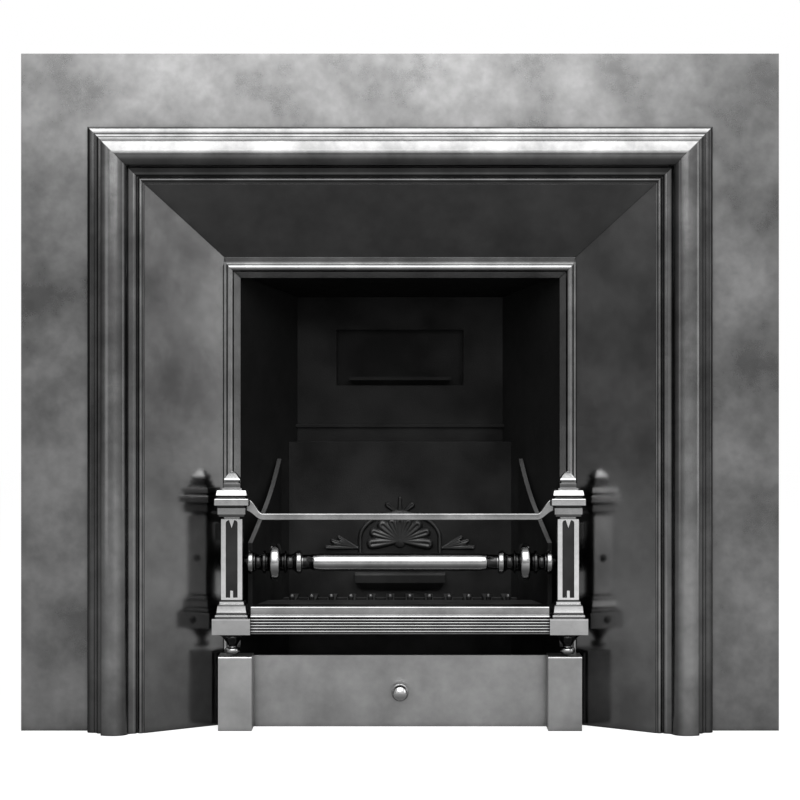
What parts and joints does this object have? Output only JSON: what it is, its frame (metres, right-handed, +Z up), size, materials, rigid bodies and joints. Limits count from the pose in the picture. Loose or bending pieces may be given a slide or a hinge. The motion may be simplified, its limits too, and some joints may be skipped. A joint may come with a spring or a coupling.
{
  "type": "cast iron fireplace insert",
  "caption": "Cast iron fireplace with a flat face plate, bolection moulding, splayed cheeks, railed front bars, loose grate, hinged damper and ash pan behind a cover.",
  "frame": {"origin": "on the hearth, below the middle of the whole depth, on the centreline", "axes": "X to the right seen from the front, Y from the front towards the wall, Z up"},
  "size_m": [1.08, 0.2904, 0.965],
  "materials": {
    "polished_iron": "polished",
    "burnished_plate": "burnished",
    "raw_iron": "as cast",
    "blackened_iron": "blackened by fire",
    "steel": "dull"
  },
  "bodies": {
    "surround": {"face_plate": "burnished_plate", "moulding_left": "polished_iron", "moulding_right": "polished_iron", "moulding_head": "polished_iron", "splay_left": "polished_iron", "splay_right": "polished_iron", "splay_head": "polished_iron", "splay_clips": "steel", "trim_left": "polished_iron", "trim_right": "polished_iron", "trim_head": "polished_iron", "plate_studs": "steel", "fixing_cleats": "raw_iron", "firebox_side_left": "blackened_iron", "firebox_side_right": "blackened_iron", "fireback": "blackened_iron", "shell_ornament": "blackened_iron", "upper_back": "blackened_iron", "hood_plate": "blackened_iron", "cheek_left": "blackened_iron", "cheek_right": "blackened_iron", "grate_bearers": "blackened_iron", "fire_apron": "blackened_iron", "pan_runners": "raw_iron", "damper_pin": "steel"},
    "damper": {"damper_flap": "blackened_iron"},
    "grate": {"bottom_grate": "blackened_iron"},
    "front_bars": {"post_left": "polished_iron", "post_right": "polished_iron", "finial_left": "polished_iron", "finial_right": "polished_iron", "pendant_left": "polished_iron", "pendant_right": "polished_iron", "top_bar": "polished_iron", "middle_rail": "polished_iron", "bottom_rail": "polished_iron", "hooks": "raw_iron", "bar_screws": "steel"},
    "cover": {"cover_plate": "burnished_plate", "cover_block_left": "polished_iron", "cover_block_right": "polished_iron", "cover_knob": "polished_iron", "cover_screws": "steel", "cover_tongues": "raw_iron"},
    "pan": {"ash_pan": "steel", "pan_handle": "steel"}
  },
  "joints": [
    {"name": "damper_hinge", "type": "hinge", "parent": "surround", "child": "damper", "pos_m": [0, 0.13685, 0.594], "axis": [1, 0, 0], "range_deg": [0, 60]},
    {"name": "bars_lift", "type": "slide", "parent": "surround", "child": "front_bars", "axis": [0, 0, 1], "range_m": [0, 0.04]},
    {"name": "grate_lift", "type": "slide", "parent": "surround", "child": "grate", "axis": [0, 0, 1], "range_m": [0, 0.06]},
    {"name": "cover_draw", "type": "slide", "parent": "surround", "child": "cover", "axis": [0, -1, 0], "range_m": [0, 0.4]},
    {"name": "pan_draw", "type": "slide", "parent": "surround", "child": "pan", "axis": [0, -1, 0], "range_m": [0, 0.3]}
  ],
  "couplings": [
    {"joint": "pan_draw", "follows": "cover_draw", "ratio": 0.75}
  ]
}
